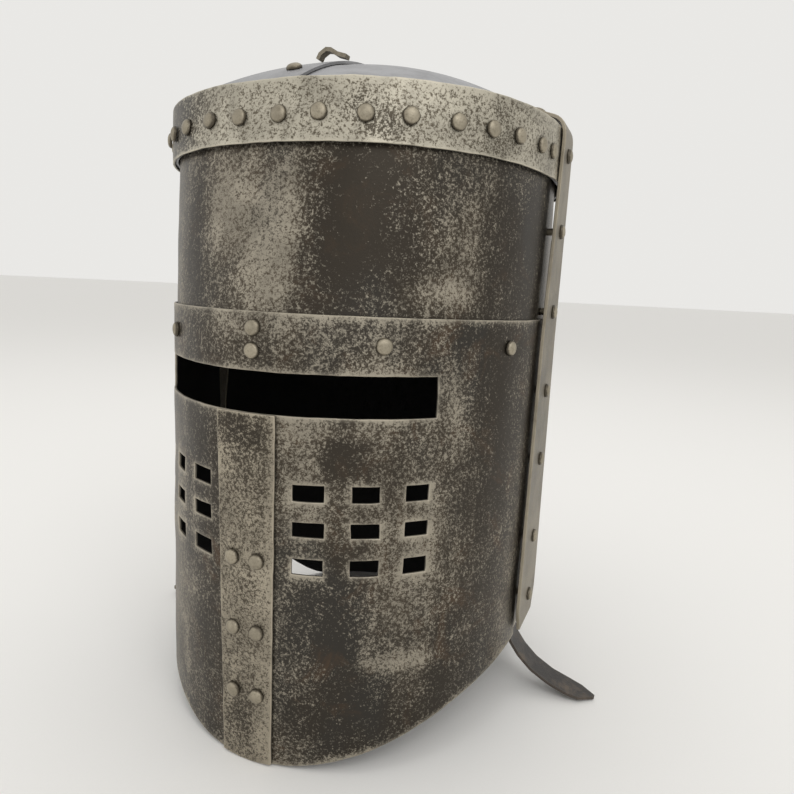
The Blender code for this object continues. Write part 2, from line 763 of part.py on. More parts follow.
def drill(items):
    """Cut every rivet hole out of the pieces that the rivets pass through."""
    cutter = helper("rivet_holes", HOLES)
    for item in items:
        combine(item, cutter)


clear_scene()
all_rivets()
pieces = crown() + shell() + side_strips()
crown_loop()
band_and_cap = liner()
pieces.append(band_and_cap[0])
pieces.append(hanger("strap_hanger_left", 1.0))
pieces.append(hanger("strap_hanger_right", -1.0))
drill(pieces)
chin_straps()
keeper()
buckle()
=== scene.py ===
import math

import bmesh
import bpy
import numpy as np
from mathutils import Matrix, Vector, noise


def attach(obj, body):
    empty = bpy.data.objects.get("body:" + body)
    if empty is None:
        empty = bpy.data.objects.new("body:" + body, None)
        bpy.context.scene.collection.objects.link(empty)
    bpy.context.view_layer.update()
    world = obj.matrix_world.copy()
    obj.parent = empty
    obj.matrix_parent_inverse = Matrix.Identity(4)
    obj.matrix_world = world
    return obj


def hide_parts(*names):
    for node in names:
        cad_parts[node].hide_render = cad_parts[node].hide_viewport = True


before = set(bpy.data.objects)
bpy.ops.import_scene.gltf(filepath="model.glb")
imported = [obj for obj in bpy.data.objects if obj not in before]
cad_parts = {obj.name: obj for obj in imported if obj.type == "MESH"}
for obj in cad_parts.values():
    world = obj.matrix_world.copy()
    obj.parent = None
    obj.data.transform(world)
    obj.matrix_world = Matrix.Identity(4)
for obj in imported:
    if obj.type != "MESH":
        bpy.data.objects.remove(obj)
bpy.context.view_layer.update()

# The visual model of a riveted great helm. Lengths are in millimetres up to make_piece(),
# which turns them into metres. The helm faces -Y, the wearer's left is +X and up is +Z.
MM = 0.001
CENTRE_Y = -4.9            # moves the middle of the whole helm to Y = 0
GAP = 0.3                  # air between two pieces that touch
SHEET = 1.5                # plate thickness
LAYER = SHEET + GAP        # one plate plus the air beside it

# height, half width, reach forward, reach back, corner power at the front
SECTIONS = np.array((
    (0.0, 109.6, 121.9, 118.0, 2.09),
    (218.4, 111.0, 127.9, 138.0, 1.87),
    (332.8, 110.2, 111.0, 136.0, 2.2),
))
BACK_POWER = 2.2
BEND = 218.4               # height where the wall starts to lean in
CROWN_EDGE = 332.0         # where the crown turns over into its flange
CROWN_RISE = 33.0
CROWN_POWER = 2.2
CROWN_LAP = 10.0           # the crown's right half reaches this far past the middle
FLANGE_FOOT = 306.0
BAND = (304.9, 332.8)      # top band, foot and head
BROW = 230.1               # upper edge of the face plate and of the neck plate
SKULL_FOOT = 206.0
SKULL_HEAD = 327.0
FACE_REACH = 176.0         # longest arc of a front plate, before its seam cuts it
BACK_REACH = 200.0         # the same for a back plate, from the middle of the back
SLIT = (-93.0, 93.0, 183.3, 203.0)
VENT_ROWS = ((142.9, 150.9), (125.2, 132.5), (106.2, 114.2))
VENT_COLUMNS = ((23.9, 39.1), (52.1, 65.7), (78.6, 90.7))
SIDE_CUT = 41.0            # how high the lower rim rises at the two sides
RIM_FLAT = (40.0, 100.0)   # rows of a plate are spread between its rim and these heights
FRONT_SEAM = -4.0          # front edge of the back plates
BACK_SEAM = 20.0           # rear edge of the front plates
NASAL_HALF = 16.0

NASAL_RIVETS = (110.9, 73.5, 38.9)
NASAL_RIVET_ARC = 6.9
BROW_PAIR = (222.5, 212.3)
BROW_PAIR_ARC = 4.0
BROW_SINGLES = ((64.9, 217.0), (140.5, 215.9))
BROW_STACK = 7.4           # from a brow rivet's seat to the inside of the liner
NECK_RIVET_TURNS = (132.0, 180.0, 228.0)
NECK_RIVET_HEIGHT = 214.0
SIDE_LINE = 8.0            # the row of side rivets lies this far behind the widest point
SIDE_RIVETS = (319.8, 279.2, 234.5, 188.8, 147.7, 99.3, 61.4)
BAND_RIVET_ARCS = (7.6, 26.5, 46.6, 66.2, 88.1, 106.7, 124.5, 144.8, 160.0,
                   -13.6, -32.7, -53.7, -73.5, -93.0, -112.5, -131.0, -149.5)
BAND_RIVET_BACK = 187.0    # arc of the first head on the back half
BAND_RIVET_PITCH = 20.0
BAND_RIVET_HEIGHT = 317.0
CROWN_RIVETS = (-91.0, 5.0, 78.0)

STRIP_INSIDE = 111.6
STRIP_THICK = 2.0
STRIP_LEAN = 1.3           # the side strip's top stands out by this much
LINER = (208.0, 250.0)
LINER_OFFSETS = (-5.5, -7.3)
STRAP_Y = 10.0
STRAP_HALF = 8.5
STRAP_THICK = 1.8
HANGER_BAR = (100.2, 45.3)
BUCKLE_BAR = (134.4, 4.9)
LOOP = 3.1                 # radius of a strap's turn round a bar, to mid-thickness
SIDES = (("left", 1.0), ("right", -1.0))


# ---------------------------------------------------------------- the helm's form

def outline(z, degrees):
    """Points of the outline; z and degrees are numbers or arrays of one shape."""
    z = np.clip(z, 0.0, SECTIONS[-1, 0])
    half, front, back, power = [np.interp(z, SECTIONS[:, 0], SECTIONS[:, k])
                                for k in range(1, 5)]
    s, c = np.sin(np.radians(degrees)), np.cos(np.radians(degrees))
    power = np.where(c < 0.0, BACK_POWER, power)
    reach = np.where(c < 0.0, back, front)
    k = (np.abs(s) ** power + np.abs(c) ** power) ** (-1.0 / power)
    return half * s * k, -reach * c * k


def wall(z, degrees, offset=0.0):
    """Points at an offset from the outline, with the outward directions."""
    x, y = outline(z, degrees)
    ax, ay = outline(z, np.asarray(degrees) - 0.5)
    bx, by = outline(z, np.asarray(degrees) + 0.5)
    nx, ny = by - ay, ax - bx
    size = np.hypot(nx, ny)
    nx, ny = nx / size, ny / size
    return x + nx * offset, y + ny * offset, nx, ny


TURNS = np.linspace(-200.0, 560.0, 3041)


def arc_table(z):
    """Arc length from the front at every angle in TURNS."""
    x, y = outline(np.full_like(TURNS, z), TURNS)
    walked = np.concatenate([[0.0], np.cumsum(np.hypot(np.diff(x), np.diff(y)))])
    return walked - np.interp(0.0, TURNS, walked)


def turn_at(z, arc):
    return np.interp(arc, arc_table(z), TURNS)


def arc_at(z, degrees):
    return np.interp(degrees, TURNS, arc_table(z))


def turn_at_depth(z, y):
    turns = np.linspace(45.0, 150.0, 1051)
    return float(np.interp(y, outline(np.full_like(turns, z), turns)[1], turns))


def rim(degrees):
    turn = np.abs((np.asarray(degrees) + 180.0) % 360.0 - 180.0)
    u = np.clip((turn - 104.0) / 38.0, 0.0, 1.0)
    front = SIDE_CUT * np.sin(np.radians(turn)) ** 2
    return np.where(turn <= 90.0, front, SIDE_CUT * (1.0 - u * u * (3.0 - 2.0 * u)))


def crown_height(x, y):
    turn = np.degrees(np.arctan2(x, -np.asarray(y, float)))
    turns = np.linspace(-180.0, 180.0, 1441)
    ex, ey = outline(np.full_like(turns, CROWN_EDGE), turns)
    edge = np.interp(turn, np.degrees(np.arctan2(ex, -ey)), np.hypot(ex, ey))
    r = np.minimum(np.hypot(x, y) / edge, 1.0)
    return CROWN_EDGE + CROWN_RISE * (1.0 - r ** CROWN_POWER)


def soft(x, y, z, size, seed=0.0):
    """Smooth random value about -1 to 1 with features of one size in millimetres."""
    return noise.noise(Vector((x / size + seed, y / size - seed * 0.7, z / size + seed * 1.3)))


# ---------------------------------------------------------------- meshes

def make_piece(name, verts, faces, material, body="helm", nodes=(), attributes=None,
               sharp=35.0):
    """Mesh object in metres that rides on a body."""
    points = np.array(verts, float).reshape(-1, 3) + (0.0, CENTRE_Y, 0.0)
    mesh = bpy.data.meshes.new(name)
    mesh.from_pydata((points * MM).tolist(), [], faces)
    for label, values in (attributes or {}).items():
        layer = mesh.attributes.new(label, "FLOAT", "POINT")
        layer.data.foreach_set("value", np.asarray(values, np.float32).ravel())
    work = bmesh.new()
    work.from_mesh(mesh)
    bmesh.ops.recalc_face_normals(work, faces=work.faces)
    work.to_mesh(mesh)
    work.free()
    mesh.polygons.foreach_set("use_smooth", [True] * len(mesh.polygons))
    mesh.set_sharp_from_angle(angle=math.radians(sharp))
    item = bpy.data.objects.new(name, mesh)
    bpy.context.scene.collection.objects.link(item)
    mesh.materials.append(material)
    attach(item, body)
    if nodes:
        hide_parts(*nodes)
    return item


def bevel(item, width, segments=2, angle=40.0):
    step = item.modifiers.new("worn_edges", "BEVEL")
    step.width = width * MM
    step.segments = segments
    step.limit_method = "ANGLE"
    step.angle_limit = math.radians(angle)
    step.harden_normals = False
    item.modifiers.new("even_shading", "WEIGHTED_NORMAL").keep_sharp = True
    return item


def spaced(marks, pitch):
    """Values through all the marks with no gap wider than the pitch."""
    marks = sorted(set(marks))
    values = []
    for low, high in zip(marks, marks[1:]):
        count = max(1, int(math.ceil((high - low) / pitch)))
        values += [low + (high - low) * k / count for k in range(count)]
    return np.array(values + [marks[-1]])


def shell_mesh(outer, inner, keep, wrap=False):
    """Closed plate from two point grids [column, row]; keep says which cells are metal."""
    across, up = outer.shape[:2]
    count = across * up
    cells = across if wrap else across - 1
    faces = []

    def at(side, i, j):
        return side * count + (i % across) * up + j

    def metal(i, j):
        if wrap:
            i %= across
        return 0 <= i < cells and 0 <= j < up - 1 and keep[i, j]

    for i in range(cells):
        for j in range(up - 1):
            if not keep[i, j]:
                continue
            for side in (0, 1):
                faces.append((at(side, i, j), at(side, i + 1, j),
                              at(side, i + 1, j + 1), at(side, i, j + 1)))
            for di, dj, a, b in ((-1, 0, (0, 0), (0, 1)), (1, 0, (1, 0), (1, 1)),
                                 (0, -1, (0, 0), (1, 0)), (0, 1, (0, 1), (1, 1))):
                if not metal(i + di, j + dj):
                    p, q = (i + a[0], j + a[1]), (i + b[0], j + b[1])
                    faces.append((at(0, *p), at(0, *q), at(1, *q), at(1, *p)))
    used = sorted({v for face in faces for v in face})
    where = {v: k for k, v in enumerate(used)}
    points = np.concatenate([outer.reshape(-1, 3), inner.reshape(-1, 3)])[used]
    return points, [[where[v] for v in face] for face in faces], np.array(used)


def blob_sum(arc, z, blobs):
    total = np.zeros_like(arc)
    for s0, z0, ds, dz, strength in blobs:
        total += strength * np.exp(-((arc - s0) / ds) ** 2 - ((z - z0) / dz) ** 2)
    return total


def metal_plate(name, node, material, arcs, heights, foot, outer, inner, holes=(), blobs=(),
                side_y=None, back=False, dents=0.6, wander=0.5, edge_width=7.0, taper=None,
                seed=0.0):
    """Plate with hand-cut openings, slight dents, and an edge distance for its wear."""
    columns, rows = len(arcs), len(heights)
    s = np.repeat(np.asarray(arcs)[:, None], rows, 1)
    low, joint = RIM_FLAT
    z = np.repeat(np.asarray(heights, float)[None, :], columns, 0)
    if foot is not None:
        base = foot(turn_at(60.0, s[:, 0]))[:, None]
        share = np.clip((z - low) / (joint - low), 0.0, 1.0)
        z = np.where(z < joint, base + (joint - base) * share, z)
    turns = np.empty_like(s)
    for j in range(rows):
        level = float(np.mean(z[:, j]))
        row = s[:, j].copy()
        if taper is not None:
            row = row * taper(level)
        turns[:, j] = turn_at(level, row)
        if side_y is not None:
            limit = turn_at_depth(level, side_y)
            if back:
                turns[:, j] = np.clip(turns[:, j], limit, 360.0 - limit)
            else:
                turns[:, j] = np.clip(turns[:, j], -limit, limit)
    keep = np.ones((columns - 1, rows - 1), bool)
    middle_s = (s[1:, :-1] + s[:-1, 1:]) / 2.0
    middle_z = (z[1:, :-1] + z[:-1, 1:]) / 2.0
    distance = np.minimum(z - z[:, :1], z[:, -1:] - z)
    ends = np.minimum(np.abs(s - s[:1]), np.abs(s - s[-1:]))
    distance = np.minimum(distance, ends)
    for s0, s1, z0, z1 in holes:
        inside = (middle_s > s0) & (middle_s < s1) & (middle_z > z0) & (middle_z < z1)
        keep[inside] = False
        away = np.hypot(np.maximum(np.maximum(s0 - s, s - s1), 0.0),
                        np.maximum(np.maximum(z0 - z, z - z1), 0.0))
        distance = np.minimum(distance, away)
    lift, step_s, step_z = np.zeros_like(s), np.zeros_like(s), np.zeros_like(s)
    x0, y0 = outline(z, turns)
    for i in range(columns):
        for j in range(rows):
            p = (float(x0[i, j]), float(y0[i, j]), float(z[i, j]))
            lift[i, j] = dents * (soft(*p, 46.0) + 0.35 * soft(*p, 17.0, 3.0)) - dents * 0.4
            if wander:
                step_s[i, j] = wander * (soft(*p, 13.0, 7.0 + seed) + 0.5 * soft(*p, 5.0, seed))
                step_z[i, j] = wander * (soft(*p, 16.0, 11.0 + seed) + 0.5 * soft(*p, 6.0, 5.0))
    fade = np.exp(-distance / 9.0)
    degree_per_mm = np.gradient(turns, axis=0) / np.maximum(np.abs(np.gradient(s, axis=0)), 1e-6)
    turns = turns + step_s * np.abs(degree_per_mm) * fade
    z = z + step_z * fade * (0.45 if foot is not None else 1.0)
    z = np.maximum(z, 0.05)
    grids = []
    for offset in (outer, inner):
        x, y, nx, ny = wall(z, turns, offset)
        grids.append(np.stack([x + nx * lift, y + ny * lift, z], -1))
    points, faces, used = shell_mesh(grids[0], grids[1], keep)
    count = columns * rows
    edge = np.clip(1.0 - distance.ravel() / edge_width, 0.0, 1.0)[used % count]
    tone = blob_sum(s, z, blobs).ravel()[used % count]
    # the inside mark lets the steel paint the inner face near-black as painted shade
    item = make_piece(name, points, faces, material, nodes=(node,), attributes={
        "edge": edge, "tone": tone, "inside": (used >= count).astype(float)})
    return bevel(item, 0.35, 2, 50.0)


def lathe(place, direction, profile, sides, jitter=0.0, seed=0.0):
    turn = Vector((0.0, 0.0, 1.0)).rotation_difference(Vector(direction)).to_matrix()
    centre = Vector(place)
    verts, faces, rings = [], [], []
    for radius, height in profile:
        ring = []
        for k in range(1 if radius == 0.0 else sides):
            a = 2.0 * math.pi * (k + 0.5) / sides
            x, y = radius * math.cos(a), radius * math.sin(a)
            r = 1.0 + jitter * soft(x, y, height, 3.0, seed)
            ring.append(len(verts))
            verts.append(centre + turn @ Vector((x * r, y * r, height * (1.0 + jitter * 0.6 *
                         soft(x, y, 0.0, 2.4, seed + 9.0)))))
        rings.append(ring)
    for low, high in zip(rings, rings[1:]):
        for k in range(sides):
            n = (k + 1) % sides
            if len(low) == 1:
                faces.append((low[0], high[k], high[n]))
            elif len(high) == 1:
                faces.append((low[k], high[0], low[n]))
            else:
                faces.append((low[k], high[k], high[n], low[n]))
    return verts, faces


def smooth_dome(radius, height, base, rings=9):
    """Profile of a slightly flattened round head, from its top down to its underside."""
    profile = [(0.0, base + height)]
    for k in range(1, rings + 1):
        a = math.pi / 2.0 * k / rings
        profile.append((radius * math.sin(a) ** 0.92, base + height * math.cos(a) ** 0.85
                        if k < rings else base + 0.25))
    return profile + [(radius * 0.97, base)]


# ---------------------------------------------------------------- materials

class Tree:
    """Short way to write a material's nodes."""

    def __init__(self, name):
        self.material = bpy.data.materials.new(name)
        self.material.use_nodes = True
        self.nodes = self.material.node_tree.nodes
        self.links = self.material.node_tree.links
        self.shader = self.nodes["Principled BSDF"]
        self.place = self.nodes.new("ShaderNodeTexCoord").outputs["Object"]

    def put(self, socket, value):
        if isinstance(value, bpy.types.NodeSocket):
            self.links.new(value, socket)
        elif isinstance(value, tuple) and len(value) == 3 and socket.type == "RGBA":
            socket.default_value = (*value, 1.0)
        else:
            socket.default_value = value

    def stretched(self, scale):
        node = self.nodes.new("ShaderNodeMapping")
        node.inputs["Scale"].default_value = scale
        self.links.new(self.place, node.inputs["Vector"])
        return node.outputs["Vector"]

    def noise(self, scale, detail=4.0, rough=0.55, distort=0.0, vector=None):
        node = self.nodes.new("ShaderNodeTexNoise")
        self.links.new(vector or self.place, node.inputs["Vector"])
        node.inputs["Scale"].default_value = scale
        node.inputs["Detail"].default_value = detail
        node.inputs["Roughness"].default_value = rough
        node.inputs["Distortion"].default_value = distort
        return node.outputs["Fac"]

    def spots(self, scale, vector=None):
        node = self.nodes.new("ShaderNodeTexVoronoi")
        self.links.new(vector or self.place, node.inputs["Vector"])
        node.inputs["Scale"].default_value = scale
        return node.outputs["Distance"]

    def attribute(self, name):
        node = self.nodes.new("ShaderNodeAttribute")
        node.attribute_name = name
        return node.outputs["Fac"]

    def math(self, kind, a, b=0.0, clamp=False):
        node = self.nodes.new("ShaderNodeMath")
        node.operation = kind
        node.use_clamp = clamp
        self.put(node.inputs[0], a)
        self.put(node.inputs[1], b)
        return node.outputs[0]

    def ramp(self, value, low, high, out_low=0.0, out_high=1.0, smooth=True):
        node = self.nodes.new("ShaderNodeMapRange")
        node.interpolation_type = "SMOOTHSTEP" if smooth else "LINEAR"
        for key, number in (("From Min", low), ("From Max", high), ("To Min", out_low),
                            ("To Max", out_high)):
            node.inputs[key].default_value = number
        self.put(node.inputs["Value"], value)
        return node.outputs["Result"]

    def mix(self, factor, a, b):
        node = self.nodes.new("ShaderNodeMix")
        node.data_type = "RGBA"
        self.put(node.inputs["Factor"], factor)
        self.put(node.inputs["A"], a)
        self.put(node.inputs["B"], b)
        return node.outputs["Result"]

    def bump(self, height, strength, distance):
        node = self.nodes.new("ShaderNodeBump")
        node.inputs["Strength"].default_value = strength
        node.inputs["Distance"].default_value = distance
        self.put(node.inputs["Height"], height)
        return node

    def finish(self, colour, roughness, metallic, bumps):
        self.put(self.shader.inputs["Base Color"], colour)
        self.put(self.shader.inputs["Roughness"], roughness)
        self.put(self.shader.inputs["Metallic"], metallic)
        before = None
        for height, strength, distance in bumps:
            node = self.bump(height, strength, distance)
            if before is not None:
                self.links.new(before.outputs["Normal"], node.inputs["Normal"])
            before = node
        self.links.new(before.outputs["Normal"], self.shader.inputs["Normal"])
        return self.material


def aged_steel(name, dark=(0.038, 0.031, 0.023), brown=(0.080, 0.063, 0.044),
               bright=(0.37, 0.335, 0.27), level=0.0, speckle=1.0, seed=0.0, blue=0.5,
               streak=0.4, rust=0.5):
    """Blackened steel rubbed back to bright, peppered metal."""
    t = Tree(name)
    shift = t.nodes.new("ShaderNodeMapping")
    shift.inputs["Location"].default_value = (seed, seed * 0.6, -seed * 0.3)
    t.links.new(t.place, shift.inputs["Vector"])
    t.place = shift.outputs["Vector"]
    tall = t.stretched((1.0, 1.0, streak))
    broad = t.noise(13.0, 3.0, 0.55, 0.3, tall)
    medium = t.noise(46.0, 5.0, 0.62, 0.5, t.stretched((1.0, 1.0, 0.8)))
    lines = t.noise(150.0, 4.0, 0.6, 0.0, t.stretched((1.0, 1.0, 0.08)))
    fine = t.noise(620.0, 3.0, 0.72)
    finer = t.noise(1350.0, 2.0, 0.7)
    tone = t.attribute("tone")
    edge = t.attribute("edge")

    # how far the black finish turns brown and bare, about 0 to 1: wear plus the tone patches
    worn = t.math("ADD", t.math("MULTIPLY", t.math("SUBTRACT", broad, 0.5), 1.15),
                  t.math("MULTIPLY", t.math("SUBTRACT", medium, 0.5), 0.75))
    worn = t.math("ADD", worn, t.math("MULTIPLY", t.math("SUBTRACT", lines, 0.5), 0.35))
    worn = t.math("ADD", worn, t.math("MULTIPLY", tone, 0.34))
    worn = t.math("ADD", worn, level + 0.30)
    rub = t.math("MULTIPLY", t.math("POWER", edge, 2.2), t.ramp(medium, 0.32, 0.62, 0.25, 1.25))
    worn_edge = t.math("ADD", t.math("MINIMUM", worn, 0.70), t.math("MULTIPLY", rub, 0.5))
    pepper = t.math("ADD", t.math("MULTIPLY", fine, 0.62), t.math("MULTIPLY", finer, 0.38))
    cut = t.math("SUBTRACT", t.math("ADD", worn_edge, t.math("MULTIPLY",
                 t.math("SUBTRACT", pepper, 0.5), 4.6 * speckle)), 0.5)
    bare = t.ramp(cut, -0.34, 0.40)
    body = t.ramp(worn, 0.05, 0.75)
    ground = t.mix(body, dark, brown)
    if blue:
        cool = t.ramp(t.noise(21.0, 3.0, 0.5, 0.6, tall), 0.5, 0.66, 0.0, blue)
        ground = t.mix(cool, ground, (0.037, 0.036, 0.033))
    if rust:
        warm = t.ramp(t.noise(34.0, 6.0, 0.7, 0.8), 0.52, 0.72, 0.0, rust)
        ground = t.mix(warm, ground, (0.105, 0.062, 0.034))
    metal = t.mix(t.ramp(medium, 0.35, 0.65), tuple(c * 0.72 for c in bright), bright)
    colour = t.mix(bare, ground, metal)
    lip = t.math("MULTIPLY", t.math("POWER", edge, 9.0), t.ramp(medium, 0.3, 0.55, 0.45, 1.0))
    colour = t.mix(t.math("MULTIPLY", lip, 0.8), colour,
                   tuple(min(c * 1.35, 0.8) for c in bright))
    roughness = t.math("ADD", t.ramp(bare, 0.0, 1.0, 0.40, 0.50),
                       t.math("MULTIPLY", t.math("SUBTRACT", fine, 0.5), 0.22))

    # the inner face is painted near-black as painted shade for the inside of the helm, made
    # rough and hardly metallic
    inside_shade = t.attribute("inside")
    colour = t.mix(inside_shade, colour, t.mix(t.ramp(fine, 0.4, 0.6), (0.006, 0.006, 0.006),
                                         (0.012, 0.011, 0.010)))
    roughness = t.math("MAXIMUM", roughness, t.math("MULTIPLY", inside_shade, 0.8))
    metallic = t.math("MULTIPLY", t.ramp(bare, 0.0, 1.0, 0.72, 0.96),
                      t.math("SUBTRACT", 1.0, t.math("MULTIPLY", inside_shade, 0.8)))
    return t.finish(colour, roughness, metallic, (
        (medium, 0.10, 0.0012), (fine, 0.16, 0.0004), (bare, 0.14, 0.0002)))


def leather(name, seed=0.0, base=(0.018, 0.014, 0.011), worn=(0.13, 0.10, 0.075)):
    t = Tree(name)
    grain = t.spots(900.0)
    creases = t.noise(260.0, 5.0, 0.6, 0.4, t.stretched((1.0, 0.45, 1.0)))
    cloud = t.noise(60.0 + seed, 4.0, 0.6)
    rub = t.math("MULTIPLY", t.ramp(cloud, 0.42, 0.66), t.ramp(creases, 0.35, 0.65))
    rub = t.math("MAXIMUM", t.math("MULTIPLY", rub, 0.75), t.math("MULTIPLY",
                 t.math("POWER", t.attribute("edge"), 3.0), 0.35))
    colour = t.mix(rub, base, worn)
    roughness = t.ramp(rub, 0.0, 1.0, 0.42, 0.68)
    return t.finish(colour, roughness, 0.0, ((creases, 0.35, 0.0006), (grain, 0.3, 0.0003)))


def cloth(name):
    t = Tree(name)
    warp = t.noise(900.0, 2.0, 0.5, 0.0, t.stretched((1.0, 1.0, 0.12)))
    weft = t.noise(900.0, 2.0, 0.5, 0.0, t.stretched((0.12, 0.12, 1.0)))
    weave = t.math("MAXIMUM", warp, weft)
    stain = t.noise(24.0, 5.0, 0.6)
    colour = t.mix(t.ramp(stain, 0.35, 0.7), (0.40, 0.34, 0.25), (0.24, 0.19, 0.13))
    colour = t.mix(t.ramp(weave, 0.4, 0.7, 0.0, 0.45), colour, (0.50, 0.44, 0.34))
    return t.finish(colour, 0.92, 0.0, ((weave, 0.6, 0.0006), (stain, 0.2, 0.002)))


def strip_steel(name, seed=0.0):
    return aged_steel(name, level=0.46, speckle=0.55, seed=seed, blue=0.0, streak=0.3, rust=0.15,
                      brown=(0.135, 0.115, 0.085), bright=(0.30, 0.268, 0.21))


def rivet_steel(name, seed=0.0):
    return aged_steel(name, dark=(0.08, 0.068, 0.05), brown=(0.20, 0.172, 0.125),
                      bright=(0.42, 0.375, 0.29), level=0.42, speckle=0.45, seed=seed, blue=0.0,
                      rust=0.1)


def crown_steel(name, seed=0.0):
    return aged_steel(name, dark=(0.11, 0.11, 0.115), brown=(0.19, 0.19, 0.197),
                      bright=(0.33, 0.33, 0.34), level=0.35, speckle=0.35, seed=seed, blue=0.0,
                      streak=1.0, rust=0.0)


# ---------------------------------------------------------------- plates

# lighter (plus) and darker (minus) patches of the finish: arc, height, their spreads, strength
FACE_TONE = (
    (0, 224, 40, 7, 0.6), (102, 194, 6, 18, 1.3), (108, 172, 8, 14, 0.5),
    (60, 128, 34, 30, 0.35), (92, 128, 10, 30, 0.5), (40, 176, 30, 4, 0.7), (74, 60, 20, 4, 2.3),
    (60, 69, 5, 9, 1.2), (88, 86, 14, 20, 0.3), (47, 165, 10, 12, -1.1), (45, 70, 18, 50, -1.1),
    (135, 120, 22, 90, -0.8), (30, 150, 8, 60, 0.3), (120, 222, 16, 8, -0.6),
    (-60, 60, 24, 50, 0.9), (-100, 60, 30, 50, 0.3), (-30, 60, 14, 60, 0.3), (60, 8, 60, 5, 0.3),
    (104, 60, 16, 60, -0.7), (70, 30, 30, 14, -0.5))
SKULL_TONE = (
    (-20, 276, 13, 20, 1.7), (8, 262, 14, 36, 2.3), (-46, 262, 14, 60, -1.4),
    (46, 276, 17, 34, -1.5), (60, 240, 40, 8, 0.6), (104, 262, 11, 26, 0.7),
    (96, 244, 18, 8, 0.8), (76, 280, 10, 30, -0.6), (148, 262, 22, 60, -0.8))
BAND_TONE = ((-62, 318, 26, 30, -1.6), (54, 312, 12, 10, -1.4), (42, 322, 9, 9, -1.6),
             (100, 318, 30, 20, -0.5), (0, 316, 24, 12, 0.8), (20, 328, 20, 6, 0.5))
NASAL_TONE = ((0, 172, 14, 8, -0.8), (4, 95, 10, 10, -0.6), (-4, 20, 9, 14, -0.9),
              (15, 100, 2.5, 100, 1.2))


def build_plates():
    marks = [-FACE_REACH, 0.0, FACE_REACH, SLIT[0], SLIT[1]]
    holes = [SLIT]
    for low, high in VENT_COLUMNS:
        marks += [low, high, -low, -high]
        for foot, head in VENT_ROWS:
            holes += [(low, high, foot, head), (-high, -low, foot, head)]
    heights = [*RIM_FLAT, BROW, BEND, SLIT[2], SLIT[3]]
    for pair in VENT_ROWS:
        heights += list(pair)
    metal_plate("Face_plate", "face_plate", aged_steel("face_steel", level=-0.06),
                spaced(marks, 2.4), spaced(heights, 2.4), rim, 0.0, -SHEET, holes, FACE_TONE,
                side_y=BACK_SEAM, seed=1.0)
    metal_plate("Skull_front", "skull_front", aged_steel("skull_steel", seed=0.31, rust=0.25),
                spaced((-FACE_REACH, FACE_REACH), 4.0),
                spaced((SKULL_FOOT, BEND, 231.0, SKULL_HEAD), 4.0), None, -LAYER,
                -LAYER - SHEET, blobs=SKULL_TONE, side_y=BACK_SEAM, wander=0.0)
    length = float(arc_at(150.0, 360.0))
    back_arcs = spaced((length / 2.0 - BACK_REACH, length / 2.0 + BACK_REACH), 4.0)
    metal_plate("Neck_plate", "neck_plate", aged_steel("neck_steel", seed=0.77), back_arcs,
                spaced((*RIM_FLAT, BEND, BROW), 4.0), rim, -LAYER, -LAYER - SHEET,
                side_y=FRONT_SEAM, back=True, wander=0.25, seed=2.0)
    metal_plate("Skull_back", "skull_back", aged_steel("skull_back_steel", seed=1.13),
                back_arcs, spaced((SKULL_FOOT, BEND, SKULL_HEAD), 4.0), None, -2.0 * LAYER,
                -2.0 * LAYER - SHEET, side_y=FRONT_SEAM, back=True, wander=0.0)
    middle = 318.0
    half = turn_at_depth(middle, SIDE_LINE) - 0.4
    band_arc = float(arc_at(middle, half))
    steel = aged_steel("band_steel", level=0.44, speckle=1.2, seed=0.52, blue=0.0, rust=0.1,
                       dark=(0.045, 0.038, 0.028), brown=(0.105, 0.088, 0.062),
                       bright=(0.52, 0.485, 0.40))
    metal_plate("Top_band_front", "top_band_front", steel, spaced((-band_arc, band_arc), 2.6),
                spaced(BAND, 2.4), None, LAYER, GAP, blobs=BAND_TONE, wander=0.4,
                edge_width=4.0, seed=3.0)
    whole = float(arc_at(middle, 360.0))
    metal_plate("Top_band_back", "top_band_back", steel,
                spaced((band_arc + 1.6, whole - band_arc - 1.6), 3.0), spaced(BAND, 2.8), None,
                LAYER, GAP, wander=0.4, edge_width=4.0, seed=4.0)
    nasal = aged_steel("nasal_steel", level=0.30, speckle=1.1, seed=0.93, blue=0.0, rust=0.2,
                       brown=(0.085, 0.07, 0.05), bright=(0.42, 0.375, 0.295))
    metal_plate("Nasal_strip", "nasal_strip", nasal, spaced((-NASAL_HALF, NASAL_HALF), 1.6),
                spaced((*RIM_FLAT, SLIT[2]), 2.4), lambda t: rim(t) + 0.4, LAYER, GAP,
                blobs=NASAL_TONE, wander=0.3, edge_width=3.0, seed=5.0,
                taper=lambda z: 0.9 + 0.1 * z / SLIT[2])


